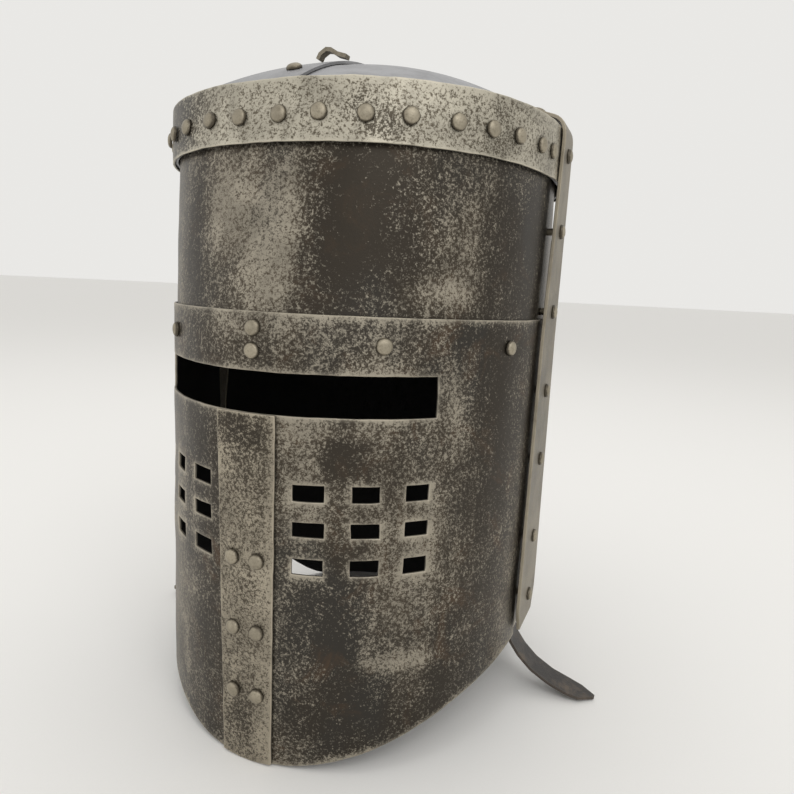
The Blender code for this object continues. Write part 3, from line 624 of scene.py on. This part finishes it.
def crown_half(name, node, drop, keep_side, material):
    """Half of the crown with its flange, dense enough for a clean curve."""
    turns = np.linspace(0.0, 360.0, 145)[:-1]
    radii = [0.992, 0.985, 0.97, 0.945] + list(np.linspace(0.91, 0.03, 22))
    grids = []
    for side in (0.0, 1.0):
        columns = []
        for z in (FLANGE_FOOT, 314.0, 322.0, 329.0, CROWN_EDGE - 0.6):
            level = np.full_like(turns, z - 1.2 * side * (z > 325))
            x, y, _, _ = wall(level, turns, -SHEET * side - 0.25 * (z > 330))
            columns.append(np.stack([x, y, level], -1))
        ex, ey = outline(np.full_like(turns, CROWN_EDGE), turns)
        for r in radii:
            z = CROWN_EDGE + CROWN_RISE * (1.0 - r ** CROWN_POWER)
            sink = drop * min((1.0 - r) / 0.03, 1.0)
            dent = [0.5 * soft(a * r, b * r, 0.0, 60.0, drop) for a, b in zip(ex, ey)]
            columns.append(np.stack([ex * r, ey * r, z - sink - SHEET * side +
                                     np.array(dent) * (1.0 - r)], -1))
        grids.append(np.stack(columns, 1))
    keep = np.ones((len(turns), grids[0].shape[1] - 1), bool)
    points, faces, _ = shell_mesh(grids[0], grids[1], keep, wrap=True)
    mesh = bmesh.new()
    for p in points:
        mesh.verts.new(p)
    mesh.verts.ensure_lookup_table()
    for face in faces:
        mesh.faces.new([mesh.verts[i] for i in face])
    tip = [e for e in mesh.edges if len(e.link_faces) == 1]
    bmesh.ops.holes_fill(mesh, edges=tip, sides=0)

    def trim(place, direction):
        cut = bmesh.ops.bisect_plane(mesh, geom=mesh.verts[:] + mesh.edges[:] + mesh.faces[:],
                                     plane_co=place, plane_no=direction, clear_outer=True)
        edges = [g for g in cut["geom_cut"] if isinstance(g, bmesh.types.BMEdge)]
        bmesh.ops.edgeloop_fill(mesh, edges=edges)

    if keep_side < 0:
        trim((CROWN_LAP, 0.0, 0.0), (1.0, 0.02, 0.0))
    else:
        trim((-6.0, 0.0, 0.0), (-1.0, 0.0, 0.0))
    mesh.verts.index_update()
    points = [v.co.copy() for v in mesh.verts]
    faces = [[v.index for v in f.verts] for f in mesh.faces]
    mesh.free()
    if keep_side > 0:
        # the tongue that runs under the other half has no flange
        points = [Vector((max(p.x, CROWN_LAP + 0.4), p.y, p.z))
                  if p.z < CROWN_EDGE + 2.6 else p for p in points]
    lap = CROWN_LAP if keep_side < 0 else -99.0
    edge = [math.exp(-abs(p.x - lap) / 2.0) * 0.8 for p in points]
    item = make_piece(name, [tuple(p) for p in points], faces, material, nodes=(node,),
                      attributes={"edge": edge, "tone": [0.0] * len(points)}, sharp=30.0)
    return bevel(item, 0.3, 2, 50.0)


# ---------------------------------------------------------------- rivets

def square_to_wall(z, turn):
    """Outward direction square to the wall, its lean included."""
    _, _, nx, ny = wall(z, turn)
    ax, ay = outline(z + 2.0, turn)
    bx, by = outline(z - 2.0, turn)
    lean = (float(nx) * float(ax - bx) + float(ny) * float(ay - by)) / 4.0
    return Vector((float(nx), float(ny), -lean)).normalized()


def on_wall(z, turn, offset):
    x, y, _, _ = wall(z, turn, offset)
    return float(x), float(y), z


RIVET_HEAD = 4.0
RIVET_RISE = 2.4
RIVET_SHANK = 2.0
RIVET_STEELS = []


def add_rivet(name, node, place, direction, stack, shank=True, seed=0.0):
    """Hammered rivet; node is the CAD node it stands for, or None for a head of the band."""
    profile = smooth_dome(RIVET_HEAD, RIVET_RISE, GAP * 0.4)
    if shank:
        foot = -stack - 0.66
        profile += [(RIVET_SHANK, GAP * 0.4), (RIVET_SHANK, foot), (3.1, foot),
                    (3.2, foot - 0.4), (2.6, foot - 1.0), (0.0, foot - 1.1)]
    else:
        profile += [(0.0, GAP * 0.4)]
    verts, faces = lathe(place, direction, profile, 28, 0.06, seed)
    centre = Vector(place)
    away = [(v - centre).cross(Vector(direction)).length / RIVET_HEAD for v in verts]
    tone = [0.6 - 2.6 * max(a - 0.72, 0.0) / 0.28 for a in away]
    make_piece(name, [tuple(v) for v in verts], faces, RIVET_STEELS[int(seed) % 3],
               nodes=(node,) if node else (),
               attributes={"edge": [0.0] * len(verts), "tone": tone}, sharp=60.0)


def build_rivets():
    for k in range(3):
        RIVET_STEELS.append(rivet_steel(f"rivet_steel_{k + 1}", 0.4 * k))
    seed = 0.0
    for number, z in enumerate(NASAL_RIVETS, 1):
        for side, sign in SIDES:
            turn = float(turn_at(z, NASAL_RIVET_ARC * sign))
            seed += 1.7
            add_rivet(f"Nasal_rivet_{side}_{number}", f"nasal_rivet_{side}_{number}",
                      on_wall(z, turn, LAYER), square_to_wall(z, turn), LAYER + SHEET, seed=seed)
    for number, z in enumerate(BROW_PAIR, 1):
        turn = float(turn_at(z, BROW_PAIR_ARC))
        seed += 1.7
        add_rivet(f"Brow_rivet_middle_{number}", f"brow_rivet_middle_{number}",
                  on_wall(z, turn, 0.0), square_to_wall(z, turn), BROW_STACK, seed=seed)
    for number, (arc, z) in enumerate(BROW_SINGLES, 1):
        for side, sign in SIDES:
            turn = float(turn_at(z, arc * sign))
            seed += 1.7
            add_rivet(f"Brow_rivet_{side}_{number}", f"brow_rivet_{side}_{number}",
                      on_wall(z, turn, 0.0), square_to_wall(z, turn), BROW_STACK, seed=seed)
    for number, turn in enumerate(NECK_RIVET_TURNS, 1):
        seed += 1.7
        add_rivet(f"Neck_rivet_{number}", f"neck_rivet_{number}",
                  on_wall(NECK_RIVET_HEIGHT, turn, -LAYER),
                  square_to_wall(NECK_RIVET_HEIGHT, turn), BROW_STACK - LAYER, seed=seed)
    for number, z in enumerate(SIDE_RIVETS, 1):
        lean = STRIP_LEAN * min(max((z - 218.0) / 107.0, 0.0), 1.0)
        outside = STRIP_INSIDE + STRIP_THICK + lean
        surface = float(outline(z, turn_at_depth(z, SIDE_LINE))[0])
        # what lies inside the outline there: skull plates, liner band, neck plate or hanger
        inner = 5.1 if z > 250.0 else 7.4 if z > BROW else 3.3 if z > 70.0 else 6.7
        for side, sign in SIDES:
            seed += 1.7
            add_rivet(f"Side_rivet_{side}_{number}", f"side_rivet_{side}_{number}",
                      (outside * sign, SIDE_LINE, z), (sign, 0.0, 0.0),
                      outside - surface + inner, seed=seed)
    ends = [Vector((x, SIDE_LINE, z)) for x, z in strip_end()]
    along = (ends[1] - ends[0]).normalized()
    up = Vector((0.0, 1.0, 0.0)).cross(along)
    up = up if up.z > 0.0 else -up
    place = (ends[0] + ends[1]) / 2.0 + up * STRIP_THICK / 2.0
    depth = (place.z - float(crown_height(place.x, SIDE_LINE))) * up.z
    for side, sign, drop in (("left", 1.0, LAYER), ("right", -1.0, 0.0)):
        seed += 1.7
        add_rivet(f"Crown_end_rivet_{side}", f"crown_end_rivet_{side}",
                  (place.x * sign, SIDE_LINE, place.z), (up.x * sign, 0.0, up.z),
                  depth + SHEET + drop, seed=seed)
    for number, y in enumerate(CROWN_RIVETS, 1):
        fall = float(crown_height(0.0, y - 2.0) - crown_height(0.0, y + 2.0)) / 4.0
        seed += 1.7
        add_rivet(f"Crown_rivet_{number}", f"crown_rivet_{number}",
                  (0.0, y, float(crown_height(0.0, y))), Vector((0.0, fall, 1.0)).normalized(),
                  LAYER + SHEET + 0.6, seed=seed)


def build_band_rivets():
    """Heads of the top band's rivets; in the solid model they are part of the band."""
    level = BAND_RIVET_HEIGHT
    found = [float(turn_at(level, arc)) for arc in BAND_RIVET_ARCS]
    arc = BAND_RIVET_BACK
    while float(turn_at(level, arc)) < 340.0:
        turn = float(turn_at(level, arc))
        if float(outline(level, turn)[1]) > SIDE_LINE + 18.0:
            found.append(turn)
        arc += BAND_RIVET_PITCH
    for k, turn in enumerate(found):
        tall = level + 0.7 * soft(k * 3.1, 0.0, 0.0, 1.0, 2.0)
        turn += 0.35 * soft(k * 2.3, 0.0, 0.0, 1.0, 5.0)
        add_rivet(f"Band_rivet_{k + 1}", None, on_wall(tall, turn, LAYER),
                  square_to_wall(tall, turn), 0.0, shank=False, seed=float(k))


# ---------------------------------------------------------------- strips and straps

def strip_end():
    return [(102.5, float(crown_height(102.5, SIDE_LINE)) + 3.2),
            (91.0, float(crown_height(91.0, SIDE_LINE)) + 2.2)]


def resample(path, extra, pitch):
    """Smooth curve through the path's points, with the extra values carried along."""
    path = np.array(path, float)
    lengths = np.concatenate([[0.0], np.cumsum(np.hypot(*np.diff(path, axis=0).T))])
    count = max(int(lengths[-1] / pitch), 8)
    places = np.linspace(0.0, lengths[-1], count + 1)
    fine = np.stack([np.interp(places, lengths, path[:, k]) for k in (0, 1)], -1)
    for _ in range(2):
        middle = fine.copy()
        middle[1:-1] = (fine[:-2] + 2.0 * fine[1:-1] + fine[2:]) / 4.0
        fine = middle
    return fine, [np.interp(places, lengths, np.array(e, float)) for e in extra], places


def ribbon_piece(name, node, path, thick, centres, halves, material, body, pitch, cells=12,
                 slots=(), rounded=0.35, wander=0.0):
    """Flat bar or strap along a path of (x, z) points, with its middle and half width in y."""
    edge_width = 3.0
    fine, (middle, wide), places = resample(path, (centres, halves), pitch)
    tangent = np.gradient(fine, axis=0)
    tangent /= np.hypot(tangent[:, 0], tangent[:, 1])[:, None]
    nx, nz = -tangent[:, 1], tangent[:, 0]
    across = np.linspace(-1.0, 1.0, cells + 1)
    outer = np.zeros((len(fine), cells + 1, 3))
    inner = np.zeros_like(outer)
    edge = np.zeros((len(fine), cells + 1))
    for i in range(len(fine)):
        for j, w in enumerate(across):
            half = wide[i] + wander * soft(fine[i, 0], w * 9.0, fine[i, 1], 14.0, 4.0)
            for grid, sign in ((outer, 0.5), (inner, -0.5)):
                grid[i, j] = (fine[i, 0] + nx[i] * thick * sign, middle[i] + w * half,
                              fine[i, 1] + nz[i] * thick * sign)
            away = min((1.0 - abs(w)) * half, places[i], places[-1] - places[i])
            edge[i, j] = max(1.0 - away / edge_width, 0.0)
    keep = np.ones((len(fine) - 1, cells), bool)
    for x0, x1, w in slots:
        for i in range(len(fine) - 1):
            if x0 < fine[i, 0] < x1:
                keep[i, np.abs((across[1:] + across[:-1]) / 2.0) < w] = False
    points, faces, used = shell_mesh(outer, inner, keep)
    item = make_piece(name, points, faces, material, body, nodes=(node,), attributes={
        "edge": edge.ravel()[used % edge.size], "tone": np.zeros(len(used))}, sharp=40.0)
    return bevel(item, rounded, 3, 50.0)


def mirrored(path):
    return [(-x, z) for x, z in path]


def arc_points(centre, radius, start, stop, count):
    turns = np.radians(np.linspace(start, stop, count + 1))
    return [(centre[0] + radius * math.cos(a), centre[1] + radius * math.sin(a)) for a in turns]


def build_side_strips():
    middle = STRIP_INSIDE + STRIP_THICK / 2.0
    top = middle + STRIP_LEAN
    path = [(middle, 46.0), (middle, 60.0), (middle, 218.0), (top, 325.0),
            (top - 0.1, 332.0), (top - 1.6, 335.8), (top - 4.8, 338.2)] + strip_end()
    centres = [5.5, 5.5, 6.2, 8.0, 8.0, 8.0, 8.0, 8.0, 8.0]
    halves = [16.0, 22.0, 18.0, 12.5, 12.5, 12.5, 12.5, 12.0, 11.0]
    for side, line in (("left", path), ("right", mirrored(path))):
        ribbon_piece(f"Side_strip_{side}", f"side_strip_{side}", line, STRIP_THICK, centres,
                     halves, strip_steel(f"strip_steel_{side}", 0.2 if side == "left" else 1.2),
                     "helm", pitch=2.2, wander=0.35)


def strap_turn():
    x, z = HANGER_BAR
    tail = [(x - LOOP, z - 9.0), (x - LOOP, z - 4.0)]
    return tail + arc_points(HANGER_BAR, LOOP, 180.0, 0.0, 8)


def build_straps():
    hide = leather("strap_leather")
    sweep = [(103.8, 38.5), (106.2, 30.5), (112.0, 22.5), (120.0, 15.0), (131.0, 8.6),
             (143.0, 4.3), (150.0, 2.6), (158.2, 1.7)]
    path = strap_turn() + sweep
    centres = [STRAP_Y + 3.0 * max(abs(x) - 108.0, 0.0) / 50.0 for x, _ in path]
    halves = [STRAP_HALF] * (len(path) - 2) + [STRAP_HALF - 1.2, 1.2]
    ribbon_piece("Chin_strap_left", "chin_strap_left", path, STRAP_THICK - 0.1, centres, halves,
                 hide, "strap_left", pitch=0.9, cells=14, wander=0.25, rounded=0.3)
    bx, bz = BUCKLE_BAR
    path = strap_turn() + [(103.8, 38.5), (106.2, 30.5), (112.0, 22.5), (118.5, 16.0),
                           (125.0, 10.6), (bx - 4.5, bz + LOOP + 0.3)]
    path += arc_points(BUCKLE_BAR, LOOP, 90.0, -90.0, 8) + [(bx - 8.0, bz - LOOP + 0.1)]
    ribbon_piece("Chin_strap_right", "chin_strap_right", mirrored(path), STRAP_THICK - 0.1,
                 [STRAP_Y] * len(path), [STRAP_HALF] * len(path), hide, "strap_right",
                 pitch=0.8, cells=14, slots=((-bx - 6.0, -bx + 5.0, 0.3),), rounded=0.3)


def dress_kept_nodes():
    """Small solid pieces stay as they are, with softened edges and a worn finish."""
    worn = strip_steel("fitting_steel", 0.9)
    hide = leather("keeper_leather", 5.0)
    for name in ("strap_hanger_left", "strap_hanger_right", "buckle_frame", "buckle_prong",
                 "crown_loop", "strap_keeper"):
        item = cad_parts[name]
        item.data.materials.clear()
        item.data.materials.append(hide if name == "strap_keeper" else worn)
        bevel(item, 0.35, 3, 30.0)


# ---------------------------------------------------------------- liner

def build_liner():
    turns = np.linspace(0.0, 360.0, 181)[:-1]
    low, high = LINER
    heights = np.array([low, 210.0, 214.0, BEND, 226.0, 234.0, 242.0, 248.0, high])
    grids = []
    for offset in LINER_OFFSETS:
        rows = []
        for z in heights:
            x, y, _, _ = wall(np.full_like(turns, z), turns, offset)
            rows.append(np.stack([x, y, np.full_like(x, z)], -1))
        grids.append(np.stack(rows, 1))
    keep = np.ones((len(turns), len(heights) - 1), bool)
    points, faces, _ = shell_mesh(grids[0], grids[1], keep, wrap=True)
    edge = np.clip(1.0 - np.minimum(points[:, 2] - low, high - points[:, 2]) / 3.0, 0.0, 1.0)
    band = make_piece("Liner_band", points, faces, leather("liner_leather", 9.0,
                      (0.05, 0.032, 0.02), (0.2, 0.14, 0.09)),
                      nodes=("liner_band",), attributes={"edge": edge})
    bevel(band, 0.4, 2, 50.0)

    # the cap's line from its hem to the top: share of the wall's reach, height
    line = np.array(((1.0, 250.6), (1.0, 257.0), (0.96, 270.0), (0.87, 302.0), (0.7, 324.0),
                     (0.4, 337.0), (0.0, 340.0)))
    lengths = np.concatenate([[0.0], np.cumsum(np.hypot(np.diff(line[:, 0]) * 110.0,
                                                        np.diff(line[:, 1])))])
    places = np.linspace(0.0, lengths[-1], 70)
    radii = np.interp(places, lengths, line[:, 0])
    tall = np.interp(places, lengths, line[:, 1])
    for _ in range(6):
        radii[1:-1] = (radii[:-2] + 2.0 * radii[1:-1] + radii[2:]) / 4.0
        tall[1:-1] = (tall[:-2] + 2.0 * tall[1:-1] + tall[2:]) / 4.0
    radii[-1] = 0.01
    grids = []
    gores = np.abs(np.sin(np.radians(turns) * 8.0)) ** 0.5
    for side in (0, 1):
        rows = []
        for r, z, place in zip(radii, tall, places):
            x, y, _, _ = wall(np.full_like(turns, min(z, 260.0)), turns, -5.9)
            quilt = gores * abs(math.sin(place / 17.0 * math.pi)) ** 0.4
            depth = 0.25 + side * (0.7 + 2.2 * quilt * (1.0 if r > 0.2 else r / 0.2))
            size = np.hypot(x, y)
            pull = depth / size if r > 0.5 else 0.0
            rows.append(np.stack([x * (r - pull), y * (r - pull),
                                  z - depth * (1.0 if r <= 0.9 else (1.0 - r) / 0.1)], -1))
        grids.append(np.stack(rows, 1))
    keep = np.ones((len(turns), len(places) - 1), bool)
    points, faces, _ = shell_mesh(grids[0], grids[1], keep, wrap=True)
    cap = make_piece("Liner_cap", points, faces, cloth("liner_cloth"),
                     nodes=("liner_cap",), sharp=70.0)


# ---------------------------------------------------------------- stage

def build_stage():
    floor = bpy.data.meshes.new("Floor")
    floor.from_pydata([(-60, -60, 0), (60, -60, 0), (60, 60, 0), (-60, 60, 0)], [],
                      [(0, 1, 2, 3)])
    ground = bpy.data.objects.new("Floor", floor)
    bpy.context.scene.collection.objects.link(ground)
    t = Tree("pale_floor")
    grain = t.noise(900.0, 2.0, 0.5)
    floor.materials.append(t.finish(t.mix(grain, (0.83, 0.822, 0.805), (0.86, 0.852, 0.835)),
                                    0.9, 0.0, ((grain, 0.05, 0.0005),)))
    world = bpy.data.worlds.new("Studio")
    bpy.context.scene.world = world
    world.use_nodes = True
    background = world.node_tree.nodes["Background"]
    background.inputs["Color"].default_value = (0.95, 0.94, 0.915, 1.0)
    background.inputs["Strength"].default_value = 0.86
    for name, place, power, size in (
            ("Key", (1.0, -1.1, 1.5), 9.0, 1.2), ("Fill", (-1.4, -1.1, 0.9), 2.0, 1.4),
            ("Top", (-0.2, 0.5, 1.9), 5.0, 1.5)):
        lamp = bpy.data.lights.new(name, "AREA")
        lamp.energy = power
        lamp.size = size
        item = bpy.data.objects.new(name, lamp)
        item.location = place
        aim = Vector((0.0, 0.0, 0.18)) - Vector(place)
        item.rotation_euler = aim.to_track_quat("-Z", "Y").to_euler()
        bpy.context.scene.collection.objects.link(item)


def build_camera():
    data = bpy.data.cameras.new("Camera")
    data.sensor_width = 36.0
    data.lens = 28.86
    data.clip_start = 0.01
    item = bpy.data.objects.new("Camera", data)
    right = Vector((0.9171, 0.3959, 0.0479)).normalized()
    back = Vector((0.3838, -0.9089, 0.163)).normalized()
    up = back.cross(right).normalized()
    right = up.cross(back).normalized()
    turn = Matrix((right, up, back)).transposed()
    item.rotation_euler = turn.to_euler()
    item.location = (0.1774, -0.3667 + CENTRE_Y * MM, 0.2417)
    bpy.context.scene.collection.objects.link(item)
    bpy.context.scene.camera = item
    bpy.context.scene.view_settings.view_transform = "Standard"


build_stage()
build_camera()
build_plates()
crown_half("Crown_right", "crown_right", 0.0, -1, crown_steel("crown_steel_right", 0.3))
crown_half("Crown_left", "crown_left", LAYER, 1, crown_steel("crown_steel_left", 0.8))
build_rivets()
build_band_rivets()
build_side_strips()
build_straps()
build_liner()
dress_kept_nodes()
